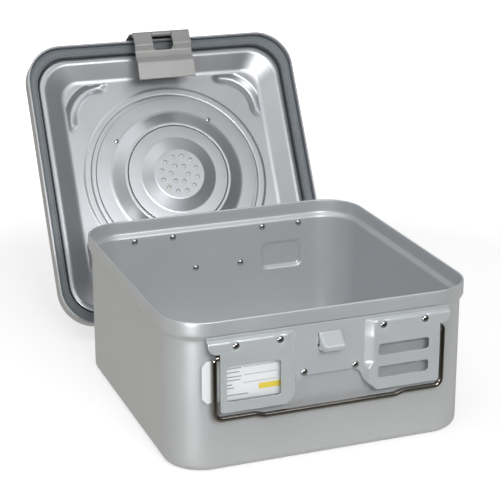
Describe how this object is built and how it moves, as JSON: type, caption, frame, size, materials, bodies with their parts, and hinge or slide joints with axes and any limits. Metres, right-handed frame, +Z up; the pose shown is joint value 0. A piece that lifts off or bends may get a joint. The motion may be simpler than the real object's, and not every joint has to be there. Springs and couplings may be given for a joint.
{
  "type": "sterilization container",
  "caption": "Rectangular aluminium instrument container with bail handles and label holders; its gasketed lid with filter cap and hinged latches stands behind it.",
  "frame": {"origin": "centre of the tub's underside, on the table", "axes": "+Z up; -Y out of the front wall, whose label holder is on its left; the lid stands behind, towards +Y"},
  "size_m": [0.2947, 0.5065, 0.2847],
  "materials": {
    "satin_aluminium": "satin anodised",
    "lid_aluminium": "bright anodised",
    "satin_steel": "satin sheet",
    "brushed_steel": "brushed",
    "rivet_metal": "turned",
    "polished_wire": "polished",
    "silicone": "matt",
    "card": "coated card",
    "filter_paper": "paper"
  },
  "bodies": {
    "container": {"tub": "satin_aluminium", "front_fitting_plate": "satin_steel", "front_rivet_1": "rivet_metal", "front_rivet_2": "rivet_metal", "front_rivet_3": "rivet_metal", "front_rivet_4": "rivet_metal", "front_rivet_5": "rivet_metal", "front_rivet_6": "rivet_metal", "front_handle_loop_left": "satin_steel", "front_handle_loop_right": "satin_steel", "rear_fitting_plate": "satin_steel", "rear_rivet_1": "rivet_metal", "rear_rivet_2": "rivet_metal", "rear_rivet_3": "rivet_metal", "rear_rivet_4": "rivet_metal", "rear_rivet_5": "rivet_metal", "rear_rivet_6": "rivet_metal", "rear_handle_loop_left": "satin_steel", "rear_handle_loop_right": "satin_steel"},
    "front_handle": {"front_handle": "polished_wire"},
    "rear_handle": {"rear_handle": "polished_wire"},
    "front_card": {"front_label_card": "card"},
    "rear_card": {"rear_label_card": "card"},
    "lid": {"lid_shell": "lid_aluminium", "lid_gasket": "silicone", "filter_disc": "filter_paper", "filter_ring": "lid_aluminium", "filter_stud_1": "rivet_metal", "filter_stud_2": "rivet_metal", "filter_stud_3": "rivet_metal", "filter_stud_4": "rivet_metal", "front_latch_bracket": "brushed_steel", "front_latch_pin": "rivet_metal", "front_latch_rivet_1": "rivet_metal", "front_latch_rivet_2": "rivet_metal", "rear_latch_bracket": "brushed_steel", "rear_latch_pin": "rivet_metal", "rear_latch_rivet_1": "rivet_metal", "rear_latch_rivet_2": "rivet_metal"},
    "front_latch": {"front_latch_flap": "brushed_steel"},
    "rear_latch": {"rear_latch_flap": "brushed_steel"},
    "filter_cap": {"filter_cap": "lid_aluminium"}
  },
  "joints": [
    {"name": "front_handle_hinge", "type": "hinge", "parent": "container", "child": "front_handle", "pos_m": [0, -0.1456, 0.1055], "axis": [-1, 0, 0], "range_deg": [0, 90]},
    {"name": "rear_handle_hinge", "type": "hinge", "parent": "container", "child": "rear_handle", "pos_m": [0, 0.1456, 0.1055], "axis": [1, 0, 0], "range_deg": [0, 90]},
    {"name": "front_card_slide", "type": "slide", "parent": "container", "child": "front_card", "axis": [-1, 0, 0], "range_m": [0, 0.07]},
    {"name": "rear_card_slide", "type": "slide", "parent": "container", "child": "rear_card", "axis": [1, 0, 0], "range_m": [0, 0.07]},
    {"name": "lid_lift", "type": "slide", "parent": "container", "child": "lid", "axis": [0, 0, 1], "range_m": [0, 0.3]},
    {"name": "front_latch_hinge", "type": "hinge", "parent": "lid", "child": "front_latch", "pos_m": [0.00142, 0.31937, 0.28072], "axis": [-0.9998, 0.0218, 0], "range_deg": [0, 180]},
    {"name": "rear_latch_hinge", "type": "hinge", "parent": "lid", "child": "rear_latch", "pos_m": [-0.00189, 0.16805, 0.02171], "axis": [0.9998, -0.0218, 0], "range_deg": [0, 55]},
    {"name": "filter_cap_pull", "type": "slide", "parent": "lid", "child": "filter_cap", "axis": [-0.0188, -0.8632, 0.5045], "range_m": [0, 0.03]}
  ]
}
